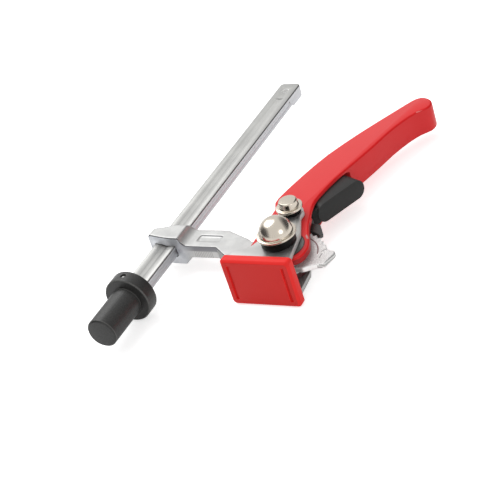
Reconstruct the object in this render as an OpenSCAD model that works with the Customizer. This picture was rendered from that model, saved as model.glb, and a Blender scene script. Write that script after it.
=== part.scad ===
// Quick-action hold-down clamp for a bench with round dog holes.
// X runs along the sliding arm, Y up the rail and Z through the thickness of the clamp.
// The origin is on the axis of the peg, in the face of the collar that sits on the bench.

/* [Peg] */
// Diameter of the peg that drops into the bench hole
peg_d = 16; // [12:0.5:20]
// Length of the peg below the collar
peg_len = 26; // [18:1:40]
// Diameter of the collar that stops on the bench
collar_d = 25; // [24:0.5:32]
// Thickness of the collar
collar_t = 8; // [7:0.5:12]
// Diameter of the cross pin through collar and rail
cross_pin_d = 3; // [2:0.25:4]

/* [Rail] */
// Length of the clamp from the tip of the peg to the end of the rail
overall_len = 230; // [200:1:300]
// Width of the rail
rail_w = 13; // [10:0.5:14]
// Thickness of the rail
rail_t = 6; // [5:0.25:7]
// Radius on the long edges of the rail
rail_edge_r = 0.8; // [0.4:0.1:1.2]
// Depth that the rail is let into the peg
rail_seat = 16; // [12:1:20]
// Thickness of the swaged stop under the end of the rail
stop_t = 1.6; // [1:0.1:2.5]
// Length of the swaged stop
stop_len = 15; // [10:1:20]
// Diameter of the hanging hole in the end of the rail
hang_d = 4; // [3:0.25:5]

/* [Sliding arm] */
// Distance from the collar face to the front face of the arm
arm_y = 41.5; // [38:0.5:120]
// Depth of the arm along the rail
arm_d = 14.5; // [12:0.5:18]
// Thickness of the arm bar
arm_t = 7.2; // [6:0.2:8]
// Height of the eye that grips the rail
eye_h = 16.4; // [14:0.2:20]
// Wall of the eye beyond the outer edge of the rail
eye_wall = 4.5; // [3:0.25:6]
// Clearance of the rail in the eye, on each side
rail_clear = 0.2; // [0.1:0.05:0.4]
// Distance from the rail centre to the handle pivot
pivot_x = 71; // [68:0.5:80]
// Distance that the handle pivot lies ahead of the front face of the arm
pivot_drop = 3; // [2:0.25:4]

/* [Ratchet] */
// Radius over the ratchet teeth
tooth_r = 21.4; // [20.5:0.1:22]
// Depth of a ratchet tooth
tooth_depth = 1.8; // [1:0.1:2.2]
// Angle from one tooth to the next
tooth_pitch = 10; // [9:0.5:11]
// Thickness of the toothed sector and its thumb tab
sector_t = 3; // [2.5:0.1:3.4]
// Gap between the tips of the teeth and the nose of the pawl
pawl_gap = 0.3; // [0.25:0.05:0.6]

/* [Handle] */
// Thickness of the handle
handle_t = 14.8; // [13.6:0.2:16]
// Radius on the long edges of the handle
handle_edge_r = 1.2; // [0.8:0.1:1.2]
// Side clearance of the arm in the fork of the handle
fork_clear = 0.3; // [0.25:0.05:0.5]
// Width of the pocket that holds the trigger
trigger_pocket_t = 11; // [10.2:0.2:11.4]
// Side clearance of the trigger in its pocket
trigger_clear = 0.3; // [0.25:0.05:0.4]
// Diameter of the trigger pin
trigger_pin_d = 4; // [3:0.25:4.5]

/* [Pivot] */
// Diameter of the pivot bolt
pivot_d = 8; // [6:0.25:9]
// Running clearance on the radius of the pins
pin_clear = 0.05; // [0.02:0.01:0.1]
// Diameter of the domed cap nut's dome
dome_d = 17; // [15:0.5:19]
// Diameter of the domed cap nut's flange
dome_flange_d = 19.8; // [18.6:0.2:22]
// Thickness of the flange of the domed cap nut
dome_flange_t = 1; // [0.8:0.1:2]
// Diameter of the black bush under the domed cap nut
bush_d = 17.6; // [15:0.2:18]
// Height of the black bush
bush_h = 4.5; // [3:0.1:5]
// Diameter of the friction washer let into each side of the handle
washer_d = 17.6; // [16:0.2:18]
// Thickness of the friction washer
washer_t = 1.1; // [0.8:0.1:1.3]

/* [Jaw] */
// Width of the pad
pad_w = 38; // [37:0.5:42]
// Height of the pad
pad_h = 26.8; // [25:0.2:28]
// Thickness of the pad
pad_t = 5; // [4:0.2:6]
// Distance from the face of the pad to the front face of the arm
pad_drop = 23.5; // [23:0.25:26]
// Thickness of the sheet steel of the jaw
sheet_t = 2.7; // [2:0.1:3]
// Side clearance between the handle and the cheeks of the jaw
cheek_clear = 0.3; // [0.25:0.05:0.5]
// Travel of the jaw towards the work
jaw_travel = 2.6; // [2.5:0.1:3]
// Travel of the jaw away from the work
jaw_return = 1.3; // [1.3:0.1:1.6]
// Diameter of the flange of the guide rivet
rivet_flange_d = 13.6; // [12:0.2:15]
// Diameter of the head of the guide rivet
rivet_head_d = 9.6; // [8:0.2:11]
// Height of the head of the guide rivet
rivet_head_h = 3.6; // [2.6:0.2:5]
// Height of the black spacer under the guide rivet
spacer_h = 2.8; // [1.8:0.1:3.4]

/* [Hidden] */
$fn = 48;
eps = 0.01;

// Heights of the layers of the head, from the middle plane outwards
fork_z = arm_t / 2 + fork_clear;
handle_z = handle_t / 2;
cheek_in_z = handle_z + cheek_clear;
cheek_out_z = cheek_in_z + sheet_t;
bush_z = cheek_out_z + cheek_clear;
flange_z = bush_z + bush_h;
washer_r_clear = 0.3;
washer_gap = 0.1;
fit = 0.02;

// Places along the rail and the arm
rail_end = overall_len - peg_len;
rail_start = collar_t - rail_seat;
pivot_y = arm_y - pivot_drop;
pad_y = arm_y - pad_drop;
bolt_r = pivot_d / 2;
trigger_r = trigger_pin_d / 2;
// Pin of the trigger, guide rivet and middle of the pad, measured from the pivot
trigger_at = [-9, 39.5];
rivet_at = [-4.8, 24.8];
pad_dx = -4.4;

white_steel = [0.78, 0.78, 0.77];
black_oxide = [0.17, 0.17, 0.17];
black_plastic = [0.2, 0.2, 0.2];
bright_nickel = [0.82, 0.79, 0.74];
red_paint = [0.86, 0.16, 0.17];

// Move to the pivot bolt
module at_pivot() { translate([pivot_x, pivot_y, 0]) children(); }

// Stand an XZ outline up and run it along Y
module run_y(len) { rotate([90, 0, 0]) translate([0, 0, -len]) linear_extrude(len) children(); }

// Plate of thickness t, centred on the middle plane
module plate(t) { linear_extrude(t, center = true) children(); }

// Rectangle with round corners
module round_rect(w, h, r) {
    square([w - 2 * r, h], center = true);
    square([w, h - 2 * r], center = true);
    for (x = [-1, 1], y = [-1, 1]) translate([x * (w / 2 - r), y * (h / 2 - r)]) circle(r);
}

// Smooth closed curve through the points p, with n steps from each to the next
function spline_point(a, b, c, d, t) =
    0.5 * (2 * b + (c - a) * t + (2 * a - 5 * b + 4 * c - d) * t * t
           + (3 * b - a - 3 * c + d) * t * t * t);
function closed_spline(p, n) =
    [for (i = [0:len(p) - 1], k = [0:n - 1])
        spline_point(p[(i + len(p) - 1) % len(p)], p[i], p[(i + 1) % len(p)], p[(i + 2) % len(p)], k / n)];

// The same closed outline drawn in by d along its normals
function unit(v) = v / norm(v);
function inset(p, d) =
    [for (i = [0:len(p) - 1])
        let (t = unit(p[(i + 1) % len(p)] - p[(i + len(p) - 1) % len(p)])) p[i] + d * [-t[1], t[0]]];

// Slab of thickness t from a closed outline, with its edges rounded to radius r
module soft_slab(p, t, r, steps = 3) {
    n = len(p);
    low = [for (k = [0:steps]) let (a = 90 * k / steps) [-t / 2 + r - r * cos(a), r - r * sin(a)]];
    high = [for (k = [steps:-1:0]) [-low[k][0], low[k][1]]];
    rows = concat([[-t / 2 - 1, r]], low, high, [[t / 2 + 1, r]]);
    rings = [for (q = rows) [for (v = inset(p, q[1])) [v[0], v[1], q[0]]]];
    points = [for (ring = rings, v = ring) v];
    m = len(rings);
    side = steps + 1;
    walls = [for (j = [0, side, m - 2], i = [0:n - 1])
        [j * n + i, (j + 1) * n + i, (j + 1) * n + (i + 1) % n, j * n + (i + 1) % n]];
    curves = [for (j = [1:m - 3], i = [0:n - 1]) if (j != side)
        for (f = [[j * n + i, (j + 1) * n + i, (j + 1) * n + (i + 1) % n],
                  [j * n + i, (j + 1) * n + (i + 1) % n, j * n + (i + 1) % n]]) f];
    bottom = [for (i = [0:n - 1]) i];
    top = [for (i = [n - 1:-1:0]) (m - 1) * n + i];
    // The blank is a little too thick, and is faced flat on both sides
    intersection() {
        polyhedron(points, concat(walls, curves, [bottom, top]), convexity = 8);
        plate(t) square(1000, center = true);
    }
}

// Cold-drawn rail: rounded bar with a hollow down each wide face and a groove down each narrow one
hollow_w = 5.4;
hollow_depth = 0.45;
side_groove_w = 2.4;
side_groove_depth = 0.35;
hollow_stop = 17;
function groove_r(w, depth) = (w * w / 4 + depth * depth) / (2 * depth);
module rail_groove(w, depth, len) {
    r = groove_r(w, depth);
    translate([0, 0, r - depth]) rotate([-90, 0, 0]) cylinder(r = r, h = len, $fn = 96);
}
module rail() {
    groove_start = collar_t + 1;
    groove_len = rail_end - hollow_stop - groove_start;
    color(white_steel) difference() {
        union() {
            translate([0, rail_start, 0]) run_y(rail_end - rail_start) round_rect(rail_w, rail_t, rail_edge_r);
            translate([0, rail_end - stop_len, -rail_t / 2]) rotate([90, 0, 90])
                linear_extrude(rail_w - 2 * rail_edge_r, center = true)
                    polygon([[0, eps], [2 * stop_t, -stop_t], [stop_len, -stop_t], [stop_len, eps]]);
        }
        for (side = [0, 180]) rotate([0, side, 0])
            translate([0, groove_start, rail_t / 2]) rail_groove(hollow_w, hollow_depth, groove_len);
        for (side = [90, 270]) rotate([0, side, 0])
            translate([0, groove_start, rail_w / 2]) rail_groove(side_groove_w, side_groove_depth, groove_len);
        translate([0, rail_end - 2 * hang_d, 0]) cylinder(d = hang_d, h = 4 * rail_t, center = true);
        translate([0, collar_t / 2, 0]) cylinder(d = cross_pin_d, h = 2 * rail_t, center = true);
        // Bevelled corners at the end of the rail
        for (side = [-1, 1]) translate([side * rail_w / 2, rail_end, 0]) rotate([0, 0, 45])
            cube([2.2, 2.2, 4 * rail_t], center = true);
    }
}

// Turned peg and collar in one, with a blind slot that takes the end of the rail
peg_chamfer = 0.8;
collar_chamfer = 0.6;
module bench_peg() {
    peg_r = peg_d / 2;
    collar_r = collar_d / 2;
    color(black_oxide) difference() {
        rotate([-90, 0, 0]) rotate_extrude($fn = 96) polygon([
            [0, -peg_len], [peg_r - peg_chamfer, -peg_len], [peg_r, -peg_len + peg_chamfer], [peg_r, 0],
            [collar_r - collar_chamfer, 0], [collar_r, collar_chamfer],
            [collar_r, collar_t - collar_chamfer], [collar_r - collar_chamfer, collar_t], [0, collar_t]]);
        translate([0, rail_start - fit, 0]) run_y(rail_seat + 1)
            round_rect(rail_w + 2 * fit, rail_t + 2 * fit, rail_edge_r);
        translate([0, collar_t / 2, 0]) cylinder(d = cross_pin_d, h = 2 * collar_d, center = true);
    }
}

// Spring pin driven through collar and rail, a little below the surface
pin_sink = 1;
module cross_pin() {
    color(white_steel) translate([0, collar_t / 2, 0]) difference() {
        cylinder(d = cross_pin_d, h = collar_d - 2 * pin_sink, center = true);
        cylinder(d = cross_pin_d / 2, h = collar_d, center = true);
        translate([0, cross_pin_d / 2, 0]) cube([0.5, cross_pin_d, collar_d], center = true);
    }
}

// Drop-forged arm: an eye round the rail, a flat bar and a toothed sector with a thumb tab
eye_left = -(rail_w / 2 + eye_wall);
eye_right = 9;
bar_corner = 31;
boss_r = 11.2;
teeth_from = 33;
teeth_count = 9;
front_gap = 10.6;
module bar_outline() {
    a = arm_y;
    b = arm_y + arm_d;
    c = pivot_y;
    polygon([[0, a], [bar_corner, a], [pivot_x - 32.4, c - 2.8], [pivot_x - 24, c - 7.5],
             [pivot_x - 12, c - front_gap], [pivot_x, c - front_gap], [pivot_x + 6, c], [pivot_x, c + boss_r],
             [pivot_x - 8, c + boss_r], [pivot_x - 21.5, c + 8.8], [pivot_x - 25, b - 6.3],
             [bar_corner + 1, b], [0, b]]);
}
module sector_outline() {
    tip = [for (i = [0:teeth_count - 1]) teeth_from + i * tooth_pitch];
    root = tooth_r - tooth_depth;
    polygon(concat(
        [[-4, -front_gap + 0.4], [6, -front_gap + 0.4], [8.6, -8.3], [13.7, -8.3], [17, -6.2], [23.5, -3.5],
         [25.4, 4.6], [25.2, 6.1], [24, 7], [22.1, 6.8], [20.2, 7.9], [18.9, 10]],
        [for (a = tip, k = [0, 1])
            k == 0 ? tooth_r * [cos(a), sin(a)] : root * [cos(a + tooth_pitch * 0.23), sin(a + tooth_pitch * 0.23)]],
        [[-10, 8], [-10, -4]]));
}
module eye_outline() {
    w = eye_right - eye_left;
    translate([(eye_right + eye_left) / 2, 0]) round_rect(w, eye_h, 3.6);
    translate([eye_right - 5, -eye_h / 2]) square([5, eye_h]);
    // Web under the bar and the hollow flank above it
    polygon([[eye_right - eps, -eye_h / 2], [eye_right + 1, -eye_h / 2], [eye_right + 6, -arm_t / 2], [eye_right, 0]]);
    difference() {
        polygon([[eye_right - eps, eye_h / 2], [eye_right + 5, arm_t / 2], [eye_right, 0]]);
        translate([eye_right + 5.4, eye_h / 2 + 0.3]) circle(5);
    }
}
// The eye seen from above: narrow at its outer end, as deep as the bar at its inner end
module eye_plan() {
    a = arm_y;
    b = arm_y + arm_d;
    polygon([[eye_left, a + 3.6], [eye_left + 1.2, a + 2.5], [-4, a + 1.3], [1, a + 0.4], [5, a], [eye_right + 6, a],
             [eye_right + 6, b], [eye_right - 2, b], [2.5, b - 2], [-3, b - 4.6], [eye_left + 1, b - 6.2],
             [eye_left, b - 7]]);
}
module sliding_arm() {
    recess = [13.5, 5.4];
    color(white_steel) difference() {
        union() {
            intersection() {
                translate([0, arm_y, 0]) run_y(arm_d) eye_outline();
                plate(2 * eye_h) eye_plan();
            }
            plate(arm_t) difference() {
                bar_outline();
                square([1, 1000], center = true);
            }
            at_pivot() {
                plate(sector_t) sector_outline();
                cylinder(r = boss_r, h = arm_t, center = true);
            }
        }
        // Way for the rail
        translate([0, arm_y - 1, 0]) run_y(arm_d + 2)
            round_rect(rail_w + 2 * rail_clear, rail_t + 2 * rail_clear, rail_edge_r);
        // Sloping back and bevelled front of the eye, above and below
        for (flip = [0, 1]) mirror([0, 0, flip]) {
            translate([eye_left - 1, arm_y, 0]) rotate([90, 0, 90]) linear_extrude(eye_right - eye_left + 7)
                polygon([[arm_d - 3, eye_h / 2 + eps], [arm_d + 1, arm_t / 2 + 2], [arm_d + 1, eye_h],
                         [arm_d - 3, eye_h]]);
            translate([eye_left - 1, arm_y, 0]) rotate([90, 0, 90]) linear_extrude(eye_right - eye_left + 7)
                polygon([[-1, eye_h / 2 - 1.4], [0.4, eye_h / 2 + eps], [0.4, eye_h], [-1, eye_h]]);
            // Forged panel in the bar
            translate([24, arm_y + 7.2, arm_t / 2 - 0.7]) linear_extrude(2) round_rect(recess[0], recess[1], 1.2);
        }
        at_pivot() cylinder(d = pivot_d, h = 4 * arm_t, center = true);
    }
}

// Pivot bolt with a low flat head below
bolt_head_d = 15;
bolt_head_h = 1.3;
cap_depth = 5;
module pivot_bolt() {
    color(bright_nickel) at_pivot() {
        translate([0, 0, -bush_z - bolt_head_h]) cylinder(d = bolt_head_d, h = bolt_head_h);
        translate([0, 0, -bush_z - eps]) cylinder(d = pivot_d - 2 * fit, h = bush_z + flange_z + cap_depth);
    }
}

// Domed cap nut with its flange, closed at the top
dome_flat = 4.5;
module dome_cap() {
    dome_r = dome_d / 2;
    top = sqrt(dome_r * dome_r - dome_flat * dome_flat / 4);
    color(bright_nickel) at_pivot() translate([0, 0, flange_z]) difference() {
        union() {
            cylinder(d = dome_flange_d, h = dome_flange_t, $fn = 96);
            translate([0, 0, dome_flange_t]) rotate_extrude($fn = 96) intersection() {
                circle(dome_r);
                square([dome_r, top]);
            }
        }
        translate([0, 0, -1]) cylinder(d = pivot_d, h = cap_depth + 1 + fit);
    }
}

// Black bush that holds the cap clear of the cheek
module pivot_bush() {
    color(black_plastic) at_pivot() translate([0, 0, bush_z]) difference() {
        cylinder(d = bush_d, h = bush_h);
        translate([0, 0, -1]) cylinder(d = pivot_d, h = bush_h + 2);
    }
}

// Friction washers, each in a round seat in one side of the handle
module washer() {
    at_pivot() translate([0, 0, handle_z + washer_gap - washer_t]) difference() {
        cylinder(d = washer_d, h = washer_t);
        translate([0, 0, -1]) cylinder(d = pivot_d, h = washer_t + 2);
    }
}
module washer_top() { color(white_steel) washer(); }
module washer_bottom() { color(white_steel) mirror([0, 0, 1]) washer(); }

// Cast handle: a fork over the arm, an open pocket for the trigger and a bowed grip.
// Its outline is measured from the pivot.
handle_points = [
    [-13.4, -8.4], [-8.4, -10.2], [-3.1, -11.6], [3.1, -11.8], [9.2, -10.3], [13.6, -7], [14.6, -2],
    [14, 3.4], [9.9, 12], [6.5, 19.6], [4.2, 27], [2, 34.5], [1.2, 41], [2.2, 49.5], [4.2, 59.5], [6.7, 68],
    [9.3, 75.8], [13.4, 89.5], [17.2, 104], [21.3, 115], [25.6, 122.8], [30.2, 127.5], [31.4, 131.8],
    [29.6, 136.3], [24.8, 139.2], [20.2, 138], [16, 132], [10, 121.5], [0.5, 104.5], [-10, 82.5],
    [-16.5, 61.5], [-21, 41.5], [-20, 35.5], [-18.2, 31.5], [-18.2, 21.5], [-17.7, 6.5], [-17, -2.5]];
// Outer face of the trigger: its middle, direction and length, and how far the pocket runs past it
face_at = [9.7, 50.2];
face_angle = 65;
face_len = 32;
pocket_over = 3;
// Racetrack of length len and width w, run through the handle square to the face of the trigger
module across_face(len, w, depth) {
    translate(face_at) rotate([0, 0, face_angle - 90]) rotate([0, 90, 0]) linear_extrude(depth, center = true) {
        square([w, len - w], center = true);
        for (end = [-1, 1]) translate([0, end * (len - w) / 2]) circle(w / 2);
    }
}
pocket_points = [
    [-15.5, 27.8], [-16.5, 33.5], [-17, 41.5], [-13.5, 58.5], [-9.5, 67.5], [-5, 70], [40, 70], [40, 27.8]];
module handle() {
    seat_r = washer_d / 2 + washer_r_clear;
    seat_z = handle_z + washer_gap - washer_t;
    color(red_paint) at_pivot() difference() {
        soft_slab(closed_spline(handle_points, 2), handle_t, handle_edge_r);
        // Fork over the arm and the toothed sector
        plate(2 * fork_z) polygon([[-40, -30], [40, -30], [40, 28.3], [-40, 28.3]]);
        intersection() {
            plate(trigger_pocket_t) polygon(pocket_points);
            union() {
                across_face(2 * (face_len / 2 + pocket_over), trigger_pocket_t, 80);
                plate(trigger_pocket_t) translate(face_at) rotate(face_angle - 90) translate([-60, -60]) square([120, 60]);
            }
        }
        // Lower cheek cut back round the bolt
        translate([0, 0, -handle_t - eps]) linear_extrude(handle_t) difference() {
            polygon([[0, 6], [30, 6], [30, -30], [0, -30]]);
            circle(seat_r + 0.7);
        }
        // Bore for the bolt with a seat for a washer at each end
        rotate_extrude() polygon([
            [0, -handle_t], [seat_r, -handle_t], [seat_r, -seat_z], [bolt_r + pin_clear, -seat_z],
            [bolt_r + pin_clear, seat_z], [seat_r, seat_z], [seat_r, handle_t], [0, handle_t]]);
        translate(trigger_at) cylinder(d = trigger_pin_d, h = trigger_pin_len, center = true);
    }
}

// Hidden pin of the trigger, held in blind holes in the two cheeks
trigger_pin_len = trigger_pocket_t + 2.2;
module trigger_pin() {
    color(white_steel) at_pivot() translate(trigger_at)
        cylinder(d = trigger_pin_d - 2 * fit, h = trigger_pin_len - 2 * fit, center = true);
}

// Torsion spring round the trigger pin, close wound
wire_r = 0.45;
spring_turns = 3;
spring_seat_z = trigger_pocket_t / 2 - 2 * wire_r * spring_turns - 0.1;
module trigger_spring() {
    coil_r = trigger_r + wire_r + 0.35;
    color(white_steel) at_pivot() translate(trigger_at) rotate_extrude()
        for (i = [0:spring_turns - 1])
            translate([coil_r, spring_seat_z + wire_r * (1 + 1.9 * i)]) circle(wire_r, $fn = 24);
}

// Release trigger: a hollow-backed finger lever that carries the pawl
trigger_points = [
    [1.6, 32.2], [3.2, 35.4], [5.2, 40], [9.8, 50], [14.8, 60.6], [16.2, 63.6], [16.6, 65], [15.4, 65.9],
    [12, 66.8], [4, 66.6], [-4, 64.8], [-8.5, 58], [-11.4, 47], [-11.4, 42], [-6, 37]];
lever_t = 8;
module lever_outline() {
    translate(trigger_at) circle(4.2);
    polygon([[-11.5, 42.9], [-11, 36], [-2, 32.6], [3, 36], [2, 44], [-9, 52]]);
}
module trigger() {
    t = trigger_pocket_t - 2 * trigger_clear;
    color(black_plastic) at_pivot() difference() {
        union() {
            intersection() {
                plate(t) polygon(closed_spline(trigger_points, 2));
                across_face(face_len, t, 80);
            }
            plate(lever_t) lever_outline();
        }
        plate(pawl_t) pawl_outline();
        translate(pawl_pin_at) cylinder(d = pawl_pin_d, h = 2 * t, center = true);
        translate(trigger_at) {
            cylinder(r = trigger_r + pin_clear, h = 2 * t, center = true);
            translate([0, 0, spring_seat_z]) cylinder(r = 4.6, h = t);
        }
    }
}

// Hardened pawl, let into the trigger, whose nose follows the ring of teeth
pawl_t = 3.6;
pawl_from = 50.5;
pawl_to = 76;
pawl_pin_d = 2.5;
pawl_pin_at = [-3.2, 36.6];
module pawl_outline() {
    nose = tooth_r + pawl_gap;
    polygon(concat(
        [for (i = [0:6]) let (a = pawl_from + (pawl_to - pawl_from) * i / 6) nose * [cos(a), sin(a)]],
        [[2.2, 27], [-4, 31.5], [-12.2, 36.8], [-12.6, 41.5], [-9, 43.4], [-5, 42], [1.6, 32.5], [2, 28.2], [8.3, 27],
         [13.5, 19.3]]));
}
module pawl() {
    color(black_oxide) at_pivot() difference() {
        plate(pawl_t) pawl_outline();
        translate(trigger_at) cylinder(r = trigger_r + pin_clear, h = 2 * pawl_t, center = true);
        translate(pawl_pin_at) cylinder(d = pawl_pin_d, h = 2 * pawl_t, center = true);
    }
}

// Hidden pin that holds the pawl in the trigger
module pawl_pin() {
    color(white_steel) at_pivot() translate(pawl_pin_at)
        cylinder(d = pawl_pin_d - 2 * fit, h = lever_t, center = true);
}

// Folded sheet-steel jaw: a base behind the pad and two cheeks that straddle the handle.
// The cheek outline is measured from the pivot.
base_w = pad_w - 3;
pad_lip = 0.8;
base_y = pad_y + pad_t - pad_lip - pivot_y;
rivet_hole_d = 6;
tip_r = 6.4;
module cheek_outline(lower) {
    left = pad_dx - base_w / 2;
    right = pad_dx + base_w / 2;
    inner = lower ? [[12.6, base_y + 4], [11.6, 0], [9.4, 5.4]] : [[11.2, base_y + 3.6]];
    polygon(concat([[left, base_y], [right, base_y], [right, base_y + 1.6]], inner, [
        [7.7, 8.1], [1.6, 22], rivet_at + tip_r * [cos(12), sin(12)], rivet_at, rivet_at + tip_r * [-1, 0],
        [-11.7, 1], [-14, -4.5], [-18, -7.6], [left, -8.6]]));
    translate(rivet_at) circle(tip_r);
}
module jaw_bracket() {
    color(white_steel) at_pivot() difference() {
        union() {
            for (flip = [0, 1]) mirror([0, 0, flip])
                translate([0, 0, cheek_in_z]) linear_extrude(sheet_t) cheek_outline(flip == 1);
            translate([pad_dx, base_y + sheet_t / 2, 0]) cube([base_w, sheet_t, 2 * cheek_out_z], center = true);
        }
        // Slots that let the jaw slide on the pivot bolt, and holes for the guide rivets
        plate(4 * cheek_out_z) {
            translate([-bolt_r - rail_clear, -jaw_return]) square([pivot_d + 2 * rail_clear, jaw_return + jaw_travel]);
            for (end = [-jaw_return, jaw_travel]) translate([0, end]) circle(bolt_r + rail_clear);
        }
        translate(rivet_at) cylinder(d = rivet_hole_d, h = 4 * cheek_out_z, center = true);
    }
}

// Moulded pad pressed over the base of the jaw, with two slots in its face
pad_bevel = 1.2;
pad_corner_r = 2;
slot_w = 1.5;
slot_inset = 4;
slot_len = pad_h - 7;
module pad_cap() {
    color(red_paint) translate([pivot_x + pad_dx, pad_y, 0]) difference() {
        hull() {
            translate([0, pad_bevel, 0]) run_y(pad_t - pad_bevel) round_rect(pad_w, pad_h, pad_corner_r, $fn = 32);
            run_y(eps) round_rect(pad_w - 2 * pad_bevel, pad_h - 2 * pad_bevel, pad_corner_r, $fn = 32);
        }
        translate([0, pad_t - pad_lip + 5, 0]) cube([base_w + 2 * fit, 10, 2 * (cheek_out_z + fit)], center = true);
        for (side = [-1, 1]) translate([side * (pad_w / 2 - slot_inset), 0, 0])
            cube([slot_w, 2.2, slot_len], center = true);
    }
}

// Guide rivets: the upper one has a tall head on a black spacer, the lower one is low
module rivet_top() {
    flange_at = cheek_out_z + spacer_h;
    color(bright_nickel) at_pivot() translate(rivet_at) {
        translate([0, 0, cheek_in_z]) cylinder(d = rivet_hole_d - 2 * fit, h = sheet_t + spacer_h + eps);
        translate([0, 0, flange_at]) cylinder(d = rivet_flange_d, h = 1.2, $fn = 96);
        translate([0, 0, flange_at + 1.2 - eps]) rotate_extrude($fn = 96) polygon([
            [0, 0], [rivet_head_d / 2 + 0.3, 0], [rivet_head_d / 2, rivet_head_h - 0.6],
            [rivet_head_d / 2 - 0.5, rivet_head_h], [0, rivet_head_h]]);
    }
}
module rivet_spacer() {
    color(black_plastic) at_pivot() translate(concat(rivet_at, [cheek_out_z])) difference() {
        cylinder(d = rivet_head_d + 1, h = spacer_h);
        translate([0, 0, -1]) cylinder(d = rivet_hole_d, h = spacer_h + 2);
    }
}
module rivet_bottom() {
    color(bright_nickel) at_pivot() translate(rivet_at) mirror([0, 0, 1]) {
        translate([0, 0, cheek_in_z]) cylinder(d = rivet_hole_d - 2 * fit, h = sheet_t + eps);
        translate([0, 0, cheek_out_z]) cylinder(d = rivet_head_d + 2, h = bolt_head_h);
    }
}

rail();
bench_peg();
cross_pin();
sliding_arm();
pivot_bolt();
dome_cap();
pivot_bush();
washer_top();
washer_bottom();
handle();
trigger_pin();
trigger_spring();
trigger();
pawl();
pawl_pin();
jaw_bracket();
pad_cap();
rivet_top();
rivet_spacer();
rivet_bottom();
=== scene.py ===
import math

import bmesh
import bpy
from mathutils import Matrix, Vector


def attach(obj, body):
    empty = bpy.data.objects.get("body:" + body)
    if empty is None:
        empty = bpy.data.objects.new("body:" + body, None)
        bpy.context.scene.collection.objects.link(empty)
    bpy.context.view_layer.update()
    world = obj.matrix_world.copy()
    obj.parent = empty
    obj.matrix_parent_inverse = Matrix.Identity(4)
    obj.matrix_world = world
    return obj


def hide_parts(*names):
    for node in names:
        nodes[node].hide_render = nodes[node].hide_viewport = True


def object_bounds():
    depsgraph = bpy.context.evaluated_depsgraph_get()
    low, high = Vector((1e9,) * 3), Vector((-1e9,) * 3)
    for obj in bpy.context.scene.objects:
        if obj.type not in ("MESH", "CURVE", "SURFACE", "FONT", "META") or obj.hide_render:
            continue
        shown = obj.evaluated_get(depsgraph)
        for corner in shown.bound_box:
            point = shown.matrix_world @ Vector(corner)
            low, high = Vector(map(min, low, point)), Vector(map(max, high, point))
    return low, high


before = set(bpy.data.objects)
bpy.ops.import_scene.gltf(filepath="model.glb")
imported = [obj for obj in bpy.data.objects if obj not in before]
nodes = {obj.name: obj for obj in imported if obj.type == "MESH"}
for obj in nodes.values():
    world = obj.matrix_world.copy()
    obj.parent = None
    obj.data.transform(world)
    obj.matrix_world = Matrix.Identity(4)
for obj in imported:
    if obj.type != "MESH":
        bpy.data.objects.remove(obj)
cad_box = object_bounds()


# ---------------------------------------------------------------- rail
# A flat bar of drawn steel with round edges, a hollow down each wide face and a bright
# zinc finish. Its draw marks run along it, and its end is swaged to stop the arm.

class Signal:
    """One output of a shader node. Arithmetic on it adds the Math nodes."""

    def __init__(self, finish, socket):
        self.finish = finish
        self.socket = socket

    def __add__(self, other):
        return self.finish.maths("ADD", self, other)

    def __radd__(self, other):
        return self.finish.maths("ADD", other, self)

    def __sub__(self, other):
        return self.finish.maths("SUBTRACT", self, other)

    def __rsub__(self, other):
        return self.finish.maths("SUBTRACT", other, self)

    def __mul__(self, other):
        return self.finish.maths("MULTIPLY", self, other)

    def __rmul__(self, other):
        return self.finish.maths("MULTIPLY", other, self)


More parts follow.
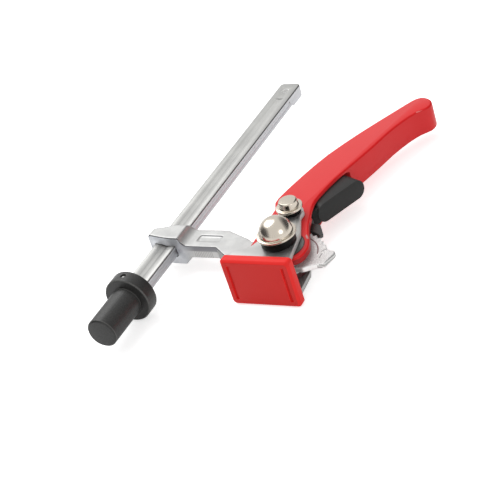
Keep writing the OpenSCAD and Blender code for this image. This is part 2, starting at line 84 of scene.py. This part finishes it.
class Finish:
    """The finish of a surface, or the light of the surround. Its nodes all come from node()."""

    def __init__(self, name, kept_in=bpy.data.materials, shader="Principled BSDF"):
        self.material = kept_in.new(name)
        self.material.use_nodes = True
        self.tree = self.material.node_tree
        self.skin = self.tree.nodes[shader]

    def node(self, kind, settings=None, inputs=None, output=0):
        made = self.tree.nodes.new(kind)
        for key, value in (settings or {}).items():
            if key == "stops":
                stops = made.color_ramp.elements
                while len(stops) < len(value):
                    stops.new(0.5)
                for stop, (position, level) in zip(stops, value):
                    stop.position = position
                    stop.color = (level, level, level, 1)
            else:
                setattr(made, key, value)
        self.feed(made, inputs or {})
        return Signal(self, made.outputs[output])

    def feed(self, made, inputs):
        for key, value in inputs.items():
            if isinstance(value, Signal):
                self.tree.links.new(value.socket, made.inputs[key])
            else:
                made.inputs[key].default_value = value

    def set(self, **inputs):
        self.feed(self.skin, {key.replace("_", " "): value for key, value in inputs.items()})

    def maths(self, operation, *values):
        return self.node("ShaderNodeMath", {"operation": operation}, dict(enumerate(values)))

    def place(self, stretch=(1, 1, 1)):
        """Places in the clamp in millimetres, stretched along its axes."""
        spot = self.node("ShaderNodeTexCoord", output="Object")
        return self.node("ShaderNodeVectorMath", {"operation": "MULTIPLY"},
                         {0: spot, 1: tuple(1000 * share for share in stretch)})

    def axis(self, vector, which):
        return self.node("ShaderNodeSeparateXYZ", None, {0: vector}, output=which)

    def facing(self, which):
        """How far the surface faces along one axis of the clamp."""
        return self.axis(self.node("ShaderNodeNewGeometry", output="Normal"), which)

    def grain(self, scale, detail, roughness=0.55, stretch=(1, 1, 1)):
        return self.node("ShaderNodeTexNoise", None,
                         {"Vector": self.place(stretch), "Scale": scale,
                          "Detail": detail, "Roughness": roughness})

    def ramp(self, signal, *stops):
        return self.node("ShaderNodeValToRGB", {"stops": stops}, {"Fac": signal})

    def mix(self, share, first, second):
        return self.node("ShaderNodeMix", {"data_type": "RGBA"},
                         {0: share, 6: first, 7: second}, output=2)

    def between(self, signal, low, high, first, second):
        """The first colour where the signal is under low, the second where it is over high."""
        return self.mix(self.ramp(signal, (low, 0.0), (high, 1.0)), first, second)

    def wave(self, signal, pace):
        return self.maths("SINE", signal * pace)

    def distance(self, east, north):
        return self.maths("SQRT", east * east + north * north)

    def above(self, signal, limit):
        return self.maths("GREATER_THAN", signal, limit)

    def below(self, signal, limit):
        return self.maths("LESS_THAN", signal, limit)

    def near(self, signal, middle, spread):
        return self.maths("COMPARE", signal, middle, spread)

    def bump(self, height, depth_mm, strength):
        return self.node("ShaderNodeBump", None,
                         {"Height": height, "Distance": depth_mm / 1000, "Strength": strength})


def dress(piece, finish, edge=0.0, angle=30):
    """Gives a solid its finish, and rounds its sharp edges by edge millimetres."""
    if isinstance(piece, str):
        piece = nodes[piece]
    piece.data.materials.clear()
    piece.data.materials.append(finish.material)
    piece.data.polygons.foreach_set("use_smooth", [True] * len(piece.data.polygons))
    weld = piece.modifiers.new("weld", "WELD")
    weld.merge_threshold = 0.000002
    if edge:
        clean = piece.modifiers.new("flats", "DECIMATE")
        clean.decimate_type = "DISSOLVE"
        clean.angle_limit = math.radians(0.5)
        bevel = piece.modifiers.new("edges", "BEVEL")
        bevel.width = edge / 1000
        bevel.segments = 3
        bevel.limit_method = "ANGLE"
        bevel.angle_limit = math.radians(angle)
        bevel.harden_normals = True
    return piece


# Sizes in the finishes are in millimetres, in this section and in those that follow
groove_half = 1.9
hang_hole_north, hang_hole_reach = 196.0, 2.15
zinc_dull, zinc_clear = (0.38, 0.38, 0.37, 1), (0.45, 0.45, 0.436, 1)
narrow_face_highlight = (0.57, 0.58, 0.6, 1)
corner_shade = (0.1, 0.1, 0.095, 1)
drill_bright = (0.85, 0.85, 0.84, 1)

zinc = Finish("bright_zinc")
draw_marks = zinc.grain(1.0, 5, 0.6, stretch=(2.2, 0.03, 2.2))
plated = zinc.between(zinc.grain(0.06, 3), 0.3, 0.7, zinc_dull, zinc_clear)
# The narrow face is painted lighter as a painted highlight, and a dark line of painted shade
# runs along the corner above it
out, up = zinc.facing(0), zinc.facing(2)
plated = zinc.mix(zinc.above(out, 0.8), plated, narrow_face_highlight)
at = zinc.place()
east, north, height = [zinc.axis(at, which) for which in (0, 1, 2)]
# The corner line is painted shade, where the overhang of the groove shades the side
corner = (zinc.ramp(up, (0.15, 0.0), (0.3, 1.0), (0.86, 1.0), (0.97, 0.0))
          * zinc.above(out, 0.15) * zinc.above(height * height, groove_half ** 2))
plated = zinc.mix(corner * 0.8, plated, corner_shade)
# The wall of the hanging hole is bright from the drill
from_hole = north - hang_hole_north
drilled = zinc.below(east * east + from_hole * from_hole, hang_hole_reach ** 2)
zinc.set(Base_Color=zinc.mix(drilled, plated, drill_bright),
         Metallic=0.8 - 0.7 * drilled,
         Roughness=0.36 + 0.16 * draw_marks,
         Normal=zinc.bump(draw_marks, depth_mm=0.03, strength=0.4))
dress("rail", zinc, edge=0.25)

# ---------------------------------------------------------------- peg and collar
# Peg and collar are turned from one bar and blackened: a soft satin black with faint
# turning rings. A bright steel pin, driven across, holds them on the rail.

peg_root, peg_end = -0.55, -25.2
collar_low, collar_high = 0.35, 7.65
peg_reach, collar_reach = 8.3, 11.7
oxide_deep, oxide_pale = (0.016, 0.016, 0.0155, 1), (0.045, 0.045, 0.043, 1)
worn_corner = (0.1, 0.1, 0.095, 1)
highlight_line = (0.085, 0.085, 0.08, 1)

oxide = Finish("black_oxide")
rings = oxide.grain(1.0, 3, 0.5, stretch=(0.05, 3.0, 0.05))
specks = oxide.grain(1.6, 6, 0.7)
skin_black = oxide.between(specks, 0.4, 0.75, oxide_deep, oxide_pale)
at = oxide.place()
east, north, height = [oxide.axis(at, which) for which in (0, 1, 2)]
from_axis = east * east + height * height
# Handling has worn the two corners of the collar
collar_corners = ((oxide.near(north, collar_low, 0.3) + oxide.near(north, collar_high, 0.3))
                  * oxide.above(from_axis, collar_reach ** 2))
skin_black = oxide.mix(collar_corners * oxide.ramp(specks, (0.3, 0.2), (0.6, 0.9)),
                       skin_black, worn_corner)
# and paler lines at the peg's root and on the corner of its end are painted highlights
highlight_lines = ((oxide.near(north, peg_root, 0.22) + oxide.near(north, peg_end, 0.18))
          * oxide.below(from_axis, peg_reach ** 2))
oxide.set(Base_Color=oxide.mix(highlight_lines * 0.8, skin_black, highlight_line),
          Specular_IOR_Level=0.4,
          Roughness=0.33 + 0.12 * specks,
          Normal=oxide.bump(specks + 0.6 * rings, depth_mm=0.03, strength=0.5))
dress("bench_peg", oxide, edge=0.2)

pin_steel = Finish("bright_steel")
pin_steel.set(Base_Color=(0.6, 0.6, 0.59, 1), Metallic=0.9,
              Roughness=0.25 + 0.15 * pin_steel.grain(1.2, 3))
dress("cross_pin", pin_steel)

# ---------------------------------------------------------------- sliding arm
# One drop forging, tumbled and zinc plated: an eye round the rail, a flat bar and the
# toothed sector with its thumb tab. The skin is satin, faintly pitted, bright on its edges.

# Sizes are in millimetres, from the pivot on, and turns round it in radians
pivot = Vector((71.0, 38.5, 0.0))
sector_reach, sector_east, tab_east, flash_east = 12.0, 2.0, 20.0, -20.0
rub_reach, rub_start, rub_end = 17.1, 0.2, 1.12
satin_dark, satin_light = (0.44, 0.44, 0.435, 1), (0.56, 0.56, 0.55, 1)
eye_front_lit_dark, eye_front_lit_light = (0.48, 0.495, 0.525, 1), (0.68, 0.695, 0.725, 1)
edge_bright = (0.92, 0.92, 0.91, 1)
hatch_light, hatch_dark = (0.62, 0.62, 0.61, 1), (0.3, 0.3, 0.295, 1)
flash_dark = (0.07, 0.07, 0.075, 1)
forge_dark, forge_light = (0.46, 0.44, 0.435, 1), (0.93, 0.915, 0.905, 1)
crease_shade = (0.14, 0.12, 0.12, 1)
bar_front_lit, bar_front_shade = (0.68, 0.68, 0.67, 1), (0.3, 0.3, 0.32, 1)
filed_dark = (0.25, 0.25, 0.25, 1)
rubbed_red = (0.14, 0.03, 0.035, 1)
skin_cell = 0.4

forged = Finish("forged_zinc")
pits = forged.grain(0.9, 8, 0.65)
grit = forged.grain(2.2, 6, 0.7)
at = forged.place()
east, north = forged.axis(at, 0) - pivot.x, forged.axis(at, 1) - pivot.y
height = forged.axis(at, 2)
reach = forged.distance(east, north)
out, back, up = [forged.facing(which) for which in (0, 1, 2)]
round_pivot = forged.above(reach, sector_reach) * forged.above(east, sector_east)

# The skin clouds softly all over, and the front of the eye is painted lighter and cooler in tone
# as painted light
plain = forged.between(forged.grain(0.09, 4, 0.6), 0.35, 0.7, satin_dark, satin_light)
eye_front_lit = forged.between(forged.grain(0.16, 5, 0.6), 0.36, 0.62, eye_front_lit_dark, eye_front_lit_light)
front = forged.ramp(0.0 - back, (0.4, 0.0), (0.8, 1.0))
eye_side = forged.ramp(0.0 - east * 0.01, (0.45, 0.0), (0.62, 1.0))
plain = forged.mix(front * eye_side, plain, eye_front_lit)
# Sector and tab have bright edges, and the end of the tab is hatched for the thumb
tab_edge = round_pivot * forged.below(up, 0.75)
tab_end = tab_edge * forged.above(out, 0.35) * forged.above(east, tab_east)
hatch = forged.between(forged.wave(height + 0.4 * east, 4.2), 0.3, 0.6, hatch_light, hatch_dark)
plain = forged.mix(tab_end, forged.mix(tab_edge, plain, edge_bright), hatch)
# A dark flash line runs where the top of eye and bar meets their front
flash = (forged.ramp(up, (0.22, 0.0), (0.34, 1.0), (0.84, 1.0), (0.94, 0.0))
         * forged.below(back, -0.2) * forged.below(east, flash_east))
plain = forged.mix(flash * 0.95, plain, flash_dark)

# The thin sector is left rough from the forge, with two short creases where the tab begins,
# drawn as lines of painted shade
thin = round_pivot * forged.above(up, 0.75)
rough = forged.between(grit, 0.35, 0.65, forge_dark, forge_light)
lower_crease = forged.near(east, 19.15, 0.28) * forged.near(north, 1.9, 2.0)
crease_east, crease_north = east - 18.0, north - 5.3
crease_along = crease_east * 0.64 + crease_north * 0.768
crease_off = crease_north * 0.64 - crease_east * 0.768
upper_crease = forged.near(crease_off, 0.0, 0.25) * forged.near(crease_along, 1.55, 1.55)
rough = forged.mix((lower_crease + upper_crease) * thin * 0.7, rough, crease_shade)
steel = forged.mix(thin, plain, rough)

# The bar's front carries painted shade in its upper half and painted light in its lower, and a
# file has left upright marks in the lower
upper_half = forged.ramp(height * 0.25 + 0.5, (0.55, 0.0), (0.75, 1.0))
bar_front = (forged.ramp(east * 0.01 + 1.0, (0.4, 0.0), (0.47, 1.0), (0.66, 1.0), (0.68, 0.0))
             * forged.below(back, -0.8))
steel = forged.mix(bar_front, steel, forged.mix(upper_half, bar_front_lit, bar_front_shade))
filed = forged.near(east, -48.5, 5.5) * bar_front * (1.0 - upper_half)
file_marks = forged.wave(east, 6.2)
steel = forged.mix(filed * forged.ramp(file_marks, (0.1, 0.0), (0.5, 0.5)), steel, filed_dark)

# The handle has rubbed its red into an arc on the sector
turn = forged.maths("ARCTAN2", north, east)
rub = (forged.near(reach, rub_reach, 0.35)
       * forged.above(turn, rub_start) * forged.below(turn, rub_end) * thin)
forged.set(Base_Color=forged.mix(rub * 0.85, steel, rubbed_red),
           Metallic=0.7 - 0.35 * thin,
           Roughness=0.34 + 0.2 * pits + 0.15 * thin,
           Normal=forged.bump(pits + thin * grit * 2.0 + filed * file_marks * 0.7,
                              depth_mm=0.07, strength=0.6))
arm = dress("sliding_arm", forged, edge=0.4)
# A fine remesh, smoothed, gives it the soft edges and root fillets of a forging
forging_skin = arm.modifiers.new("forging_skin", "REMESH")
forging_skin.mode = "VOXEL"
forging_skin.voxel_size = skin_cell / 1000
forging_skin.use_smooth_shade = True
relax = arm.modifiers.new("soft_edges", "SMOOTH")
relax.factor = 0.5
relax.iterations = 9

# ---------------------------------------------------------------- pivot
# The handle turns on a steel bolt. A polished nickel cap nut with a domed head and a round
# flange closes it above, on a black bush, and a low head closes it below. A bright washer
# lies on either side of the handle.

nickel = Finish("polished_nickel")
nickel.set(Base_Color=(0.58, 0.525, 0.45, 1), Metallic=1.0,
           Roughness=0.16 + 0.1 * nickel.grain(0.25, 4, 0.6))
dress("dome_cap", nickel, edge=0.15)
dress("pivot_bolt", nickel, edge=0.15)

rubber = Finish("black_rubber")
rubber.set(Base_Color=(0.004, 0.004, 0.004, 1), Specular_IOR_Level=0.1,
           Roughness=0.28 + 0.2 * rubber.grain(1.5, 4))
dress("pivot_bush", rubber, edge=0.2)

dress("washer_top", pin_steel, edge=0.1)
dress("washer_bottom", pin_steel, edge=0.1)

# ---------------------------------------------------------------- handle
# The handle is a light-metal casting, painted red all over in a semi-gloss powder coat
# whose skin shows a fine orange peel. Its fork turns on the bolt.

machined_reach, rim_reach, seat_reach, arm_reach, fork_reach = 11.7, 11.8, 10.2, 12.5, 23.0
scuff_east, scuff_north = 10.35, 9.06
glint_east, glint_north = 27.6, 125.05
coat_deep, coat_full = (0.7, 0.026, 0.028, 1), (0.75, 0.032, 0.034, 1)
coat_edge_shade, fork_side_shade = (0.68, 0.006, 0.008, 1), (0.3, 0.006, 0.008, 1)
scuff_grey, glint_pink = (0.5, 0.42, 0.41, 1), (0.8, 0.24, 0.23, 1)
machined_grey, rim_shadow_dark = (0.15, 0.15, 0.145, 1), (0.03, 0.012, 0.012, 1)
painted_shade_dark = (0.02, 0.012, 0.012, 1)

paint = Finish("red_powder_coat")
peel = paint.grain(0.8, 2, 0.5)
up = paint.facing(2)
at = paint.place()
east, north = paint.axis(at, 0) - pivot.x, paint.axis(at, 1) - pivot.y
height = paint.axis(at, 2)
from_pivot = paint.distance(east, north)
# The rounded edges are painted a deeper, darker red as painted shade
coat = paint.mix(paint.grain(0.05, 3), coat_deep, coat_full)
edge_shade_band = paint.ramp(up, (0.2, 0.0), (0.45, 1.0), (0.8, 1.0), (0.93, 0.0))
coat = paint.mix(edge_shade_band, coat, coat_edge_shade)
# The cheek of the jaw has rubbed a small bare spot on the rim
scuff_along = (east - scuff_east) * 0.54 - (north - scuff_north) * 0.84
scuff_off = (east - scuff_east) * 0.84 + (north - scuff_north) * 0.54
scuff = (paint.below(scuff_along * scuff_along * 0.25 + scuff_off * scuff_off * 3.0, 1.0)
         * paint.above(height, 5.0) * paint.ramp(paint.grain(1.6, 3), (0.4, 0.2), (0.55, 0.9)))
coat = paint.mix(scuff, coat, scuff_grey)
# and a pale line on the edge near the tip of the grip is a painted highlight
glint_along = (east - glint_east) * 0.8 + (north - glint_north) * 0.6
glint_off = (north - glint_north) * 0.8 - (east - glint_east) * 0.6
glint = (paint.near(glint_along, 0.0, 2.5) * paint.near(glint_off, 0.0, 0.3)
        * paint.above(height, 6.85))
coat = paint.mix(glint * 0.7, coat, glint_pink)
# On the fork's sides the coat is painted dark as painted shade
fork_side = paint.below(up, 0.3) * paint.below(from_pivot, fork_reach)
coat = paint.mix(fork_side * 0.8, coat, fork_side_shade)
# Round the bolt the top face is machined bare, with a dark ring of painted shadow where the
# paint begins
top_face = paint.above(up, 0.9) * paint.above(height, 0.0)
bare = paint.below(from_pivot, machined_reach) * top_face
rim = paint.near(from_pivot, rim_reach, 0.28) * top_face
coat = paint.mix(rim * 0.85, paint.mix(bare, coat, machined_grey), rim_shadow_dark)
# The seat of the washer and the fork under the arm are painted dark as painted shade
in_the_seat = paint.below(from_pivot, seat_reach) * paint.below(up, 0.7)
under_the_arm = paint.below(height, -1.5) * paint.below(from_pivot, arm_reach)
shaded_parts = paint.maths("MAXIMUM", in_the_seat, under_the_arm)
paint.set(Base_Color=paint.mix(shaded_parts * 0.9, coat, painted_shade_dark),
          Metallic=0.6 * bare,
          Specular_IOR_Level=0.22,
          Roughness=0.3 + 0.08 * peel,
          Normal=paint.bump(peel, depth_mm=0.05, strength=0.25))
dress("handle", paint, edge=0.4, angle=40)

# ---------------------------------------------------------------- trigger
# The trigger is moulded in black plastic with a fine stipple. It turns on a steel pin in
# the handle's pocket, and a wire spring on that pin presses it out.

moulding = Finish("black_moulding")
stipple = moulding.grain(2.4, 4, 0.6)
moulding.set(Base_Color=(0.018, 0.018, 0.0175, 1), Specular_IOR_Level=0.28,
             Roughness=0.42 + 0.15 * stipple,
             Normal=moulding.bump(stipple, depth_mm=0.03, strength=0.4))
dress("trigger", moulding, edge=0.2)
dress("trigger_pin", pin_steel)
dress("trigger_spring", pin_steel)

# ---------------------------------------------------------------- pawl
# The pawl is a hardened plate, blackened and pinned in the trigger. Its nose drops between
# the teeth of the arm, and its outer corner is ground back, more so below.

# Sizes are in millimetres from the pivot, and turns round it in degrees
nose_radius, nose_end = 21.7, 76
plate_half = 1.8
lower_start, lower_corner = 63, (11.5, 21.2)
upper_start, upper_corner = 57, (13.5, 18.9)
pawl_back = [(2.2, 27.0), (-2.6, 30.5), (-0.6, 33.2), (1.6, 32.5), (2.0, 28.2), (8.3, 27.0)]


def pawl_outline(start, corner):
    """The nose from its outer end on, the back and the outer corner."""
    turns = [math.radians(start + (nose_end - start) * step / 6) for step in range(7)]
    nose = [(nose_radius * math.cos(turn), nose_radius * math.sin(turn)) for turn in turns]
    return nose + pawl_back + [corner]


lower = pawl_outline(lower_start, lower_corner)
upper = pawl_outline(upper_start, upper_corner)
points = [(pivot.x / 1000 + east / 1000, pivot.y / 1000 + north / 1000, level / 1000)
          for level, outline in ((-plate_half, lower), (plate_half, upper))
          for east, north in outline]
count = len(lower)
caps = [tuple(range(count)), tuple(range(count, 2 * count))]
sides = [(i, (i + 1) % count, count + (i + 1) % count, count + i) for i in range(count)]
plate_mesh = bpy.data.meshes.new("pawl_plate")
plate_mesh.from_pydata(points, [], caps + sides)
solid = bmesh.new()
solid.from_mesh(plate_mesh)
bmesh.ops.recalc_face_normals(solid, faces=solid.faces)
solid.to_mesh(plate_mesh)
solid.free()
pawl_plate = bpy.data.objects.new("pawl_plate", plate_mesh)
bpy.context.scene.collection.objects.link(pawl_plate)
dress(pawl_plate, oxide, edge=0.2)
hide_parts("pawl")
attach(pawl_plate, "trigger")
dress("pawl_pin", pin_steel)

# ---------------------------------------------------------------- jaw
# The jaw is folded from one sheet of steel and plated: a base behind the pad and two
# cheeks that straddle the handle. Its cut edges are duller than its rolled faces.

sheet = Finish("plated_sheet")
smear = sheet.grain(0.5, 5, 0.6, stretch=(1, 0.15, 1))
sheared = sheet.below(sheet.facing(2), 0.6)
sheet.set(Base_Color=(0.5, 0.5, 0.49, 1),
          Metallic=0.85 - 0.65 * sheared,
          Roughness=0.28 + 0.2 * smear + 0.2 * sheared,
          Normal=sheet.bump(smear, depth_mm=0.03, strength=0.3))
dress("jaw_bracket", sheet, edge=0.35)

# ---------------------------------------------------------------- guide rivets
# A polished nickel rivet with a round flange sits in the tip of each cheek. The upper one
# stands on a black spacer.

dress("rivet_top", nickel, edge=0.15)
dress("rivet_bottom", nickel, edge=0.15)
dress("rivet_spacer", rubber, edge=0.2)

# ---------------------------------------------------------------- pad
# The pad is moulded in red plastic and pressed over the base of the jaw. Two slots in
# its face lock it, and its front edge is bevelled all round.

pad_rim, pad_face_shade = (0.84, 0.022, 0.018, 1), (0.66, 0.022, 0.018, 1)

pad_plastic = Finish("red_moulding")
bloom = pad_plastic.grain(1.8, 3, 0.5)
to_the_work = 0.0 - pad_plastic.facing(1)
# The face toward the work is painted a darker red than the rim as painted shade
pad_plastic.set(Base_Color=pad_plastic.between(to_the_work, 0.9, 0.98, pad_rim, pad_face_shade),
                Specular_IOR_Level=0.25,
                Roughness=0.42 + 0.12 * bloom,
                Normal=pad_plastic.bump(bloom, depth_mm=0.03, strength=0.3))
dress("pad_cap", pad_plastic, edge=0.3)

# ---------------------------------------------------------------- floor and surround
# A pale matt floor lies just under the clamp, in a white surround. Reflections see the
# floor darker than the camera does, and the surround lights the clamp at about half.

floor_half = 3.0
floor_level = cad_box[0].z - 0.0002
floor_corners = [(-floor_half, -floor_half, floor_level), (floor_half, -floor_half, floor_level),
                 (floor_half, floor_half, floor_level), (-floor_half, floor_half, floor_level)]
floor_mesh = bpy.data.meshes.new("floor")
floor_mesh.from_pydata(floor_corners, [], [(0, 1, 2, 3)])
floor = bpy.data.objects.new("floor", floor_mesh)
bpy.context.scene.collection.objects.link(floor)
pale = Finish("pale_floor")
to_camera = pale.node("ShaderNodeLightPath", output="Is Camera Ray")
to_mirror = pale.node("ShaderNodeLightPath", output="Is Glossy Ray")
glow = pale.mix(to_mirror, (0, 0, 0, 1), (0.28, 0.28, 0.28, 1))
pale.set(Base_Color=(0.9, 0.9, 0.9, 1), Roughness=0.9, Specular_IOR_Level=0.0,
         Emission_Color=pale.mix(to_camera, glow, (0.62, 0.62, 0.62, 1)), Emission_Strength=1.0)
floor_mesh.materials.append(pale.material)

surround = Finish("surround", bpy.data.worlds, "Background")
seen = surround.node("ShaderNodeLightPath", output="Is Camera Ray")
mirrored = surround.node("ShaderNodeLightPath", output="Is Glossy Ray")
through = surround.node("ShaderNodeLightPath", output="Is Transmission Ray")
in_view = surround.maths("MAXIMUM", surround.maths("MAXIMUM", seen, mirrored), through)
surround.set(Color=(1, 1, 1, 1), Strength=0.55 + 0.45 * in_view)
bpy.context.scene.world = surround.material

# ---------------------------------------------------------------- lamps and cards
# Two round soft boxes light the clamp from overhead and from the side. Two soft-edged
# black cards, which only reflections see, darken the sides of the polished caps.

lit_point = Vector((0.04, 0.08, 0.0))
card_width, card_height, card_gap = 1.5, 0.8, 0.001


def soft_box(name, place, size, watts):
    """A round lamp, aimed at the clamp."""
    lamp = bpy.data.lights.new(name, "AREA")
    lamp.shape = "DISK"
    lamp.size = size
    lamp.energy = watts
    holder = bpy.data.objects.new(name, lamp)
    holder.location = place
    holder.rotation_euler = (lit_point - Vector(place)).to_track_quat("-Z", "Y").to_euler()
    bpy.context.scene.collection.objects.link(holder)


soft_box("overhead_box", (-0.5, 0.2, 0.9), size=1.1, watts=8.2)
soft_box("side_box", (0.9, -0.3, 0.35), size=0.4, watts=1.2)

matt_black = Finish("matt_black_card")
matt_black.set(Base_Color=(0.05, 0.05, 0.055, 1), Roughness=1.0, Specular_IOR_Level=0.0)
spot = matt_black.node("ShaderNodeTexCoord", output="Generated")
dx, dy = matt_black.axis(spot, 0) - 0.5, matt_black.axis(spot, 1) - 0.5
dz = matt_black.axis(spot, 2)
fade = matt_black.ramp(dx * dx + dy * dy + dz * dz * 0.45, (0.08, 0.06), (0.5, 1.0))
card_skin = Signal(matt_black, matt_black.skin.outputs[0])
see_through = matt_black.node("ShaderNodeBsdfTransparent")
veil = matt_black.node("ShaderNodeMixShader", None, {0: fade, 1: card_skin, 2: see_through})
matt_black.feed(matt_black.tree.nodes["Material Output"], {"Surface": veil})


def dark_card(name, east, north):
    """An upright card on the floor, in metres east and north of the pivot, facing it."""
    foot = Vector((east, north, floor_level + card_gap)) + pivot / 1000
    across = Vector((-north, east, 0.0)).normalized() * (card_width / 2)
    rise = Vector((0, 0, card_height))
    card_corners = [foot - across, foot + across, foot + across + rise, foot - across + rise]
    card_mesh = bpy.data.meshes.new(name)
    card_mesh.from_pydata(card_corners, [], [(0, 1, 2, 3)])
    card_mesh.materials.append(matt_black.material)
    card = bpy.data.objects.new(name, card_mesh)
    bpy.context.scene.collection.objects.link(card)
    card.visible_camera = False
    card.visible_diffuse = False
    card.visible_shadow = False
    card.visible_transmission = False


dark_card("card_left", -0.55, -0.30)
dark_card("card_back", 0.34, 0.55)

# ---------------------------------------------------------------- camera
# The camera stands where the photograph was taken from. Its place, turn and focal length
# were fitted to the clamp's known sizes.

picture_pixels, focal_pixels, sensor_mm = 500, 1435.584, 36
lens = bpy.data.cameras.new("camera")
lens.sensor_width = sensor_mm
lens.lens = focal_pixels * sensor_mm / picture_pixels
lens.clip_start = 0.01
lens.clip_end = 20
camera = bpy.data.objects.new("camera", lens)
right = Vector((0.86545293, 0.41901103, -0.27462881))
down = Vector((0.03144339, -0.59252093, -0.80494115))
ahead = Vector((-0.50000254, 0.68800342, -0.5259741))
aim = Matrix((right, -down, -ahead)).transposed()
camera.matrix_world = Matrix.Translation((0.406142, -0.447461, 0.376413)) @ aim.to_4x4()
bpy.context.scene.collection.objects.link(camera)
bpy.context.scene.camera = camera
bpy.context.scene.view_settings.view_transform = "Standard"
